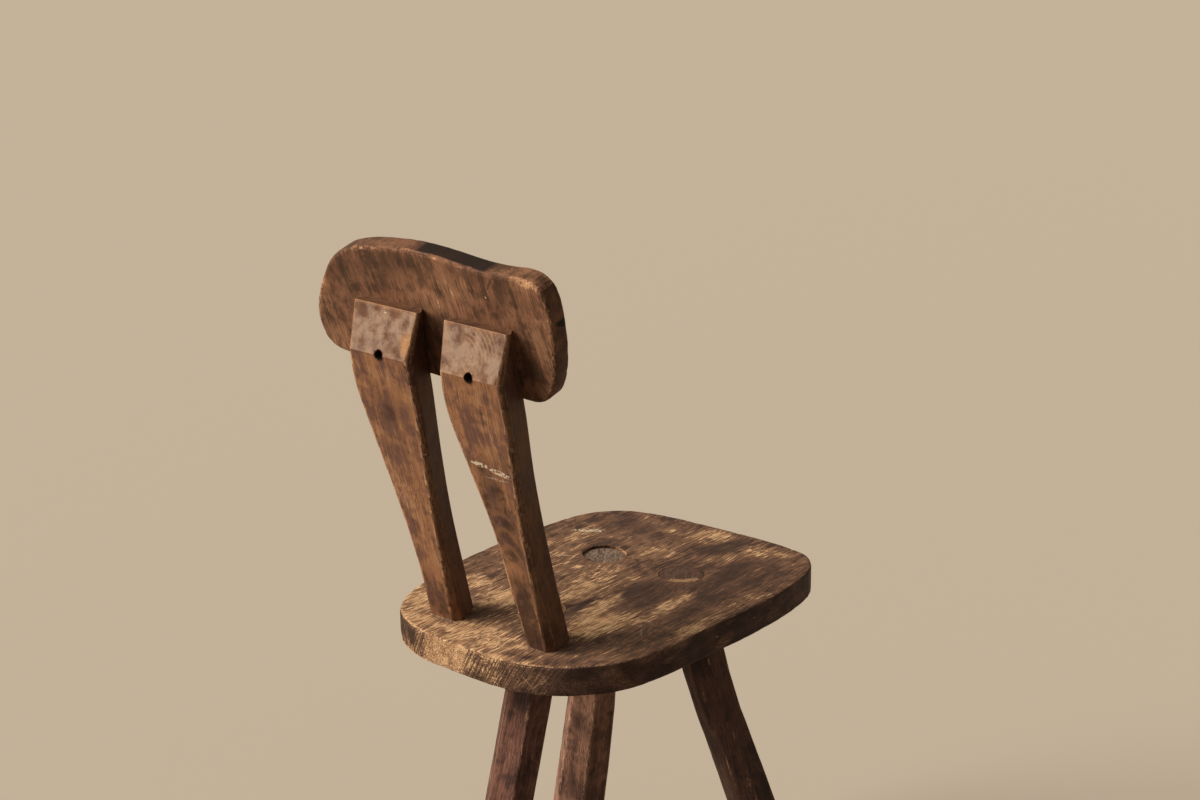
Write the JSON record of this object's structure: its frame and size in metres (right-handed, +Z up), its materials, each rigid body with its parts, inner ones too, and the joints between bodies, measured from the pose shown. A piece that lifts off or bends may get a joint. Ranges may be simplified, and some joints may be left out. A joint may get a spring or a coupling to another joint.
{
  "type": "three-legged wooden chair",
  "caption": "Rustic wooden chair with a plank seat on splayed hewn legs, two leaning posts and a rounded crest board, its dark stain worn through to bare wood.",
  "frame": {"origin": "on the floor, under the middle of the chair's overall box", "axes": "+Z up; the chair faces -Y; the sitter's left hand is at +X"},
  "size_m": [0.3704, 0.4402, 0.8151],
  "materials": {
    "seat_wood": "dark brown stain worn through to tan wood in streaks along the grain, satin",
    "leg_wood": "hewn facets with a reddish dark brown stain, satin",
    "post_wood": "orange-brown stain with dark blotches and pale scratches, satin",
    "crest_wood": "reddish brown stain with dark blotches and worn orange edges, satin",
    "screw_steel": "dull aged steel"
  },
  "bodies": {
    "root": {"seat": "seat_wood", "leg_back": "leg_wood", "leg_front_left": "leg_wood", "leg_front_right": "leg_wood", "post_left": "post_wood", "post_right": "post_wood", "crest_board": "crest_wood", "crest_screw_left": "screw_steel", "crest_screw_right": "screw_steel"}
  },
  "joints": []
}
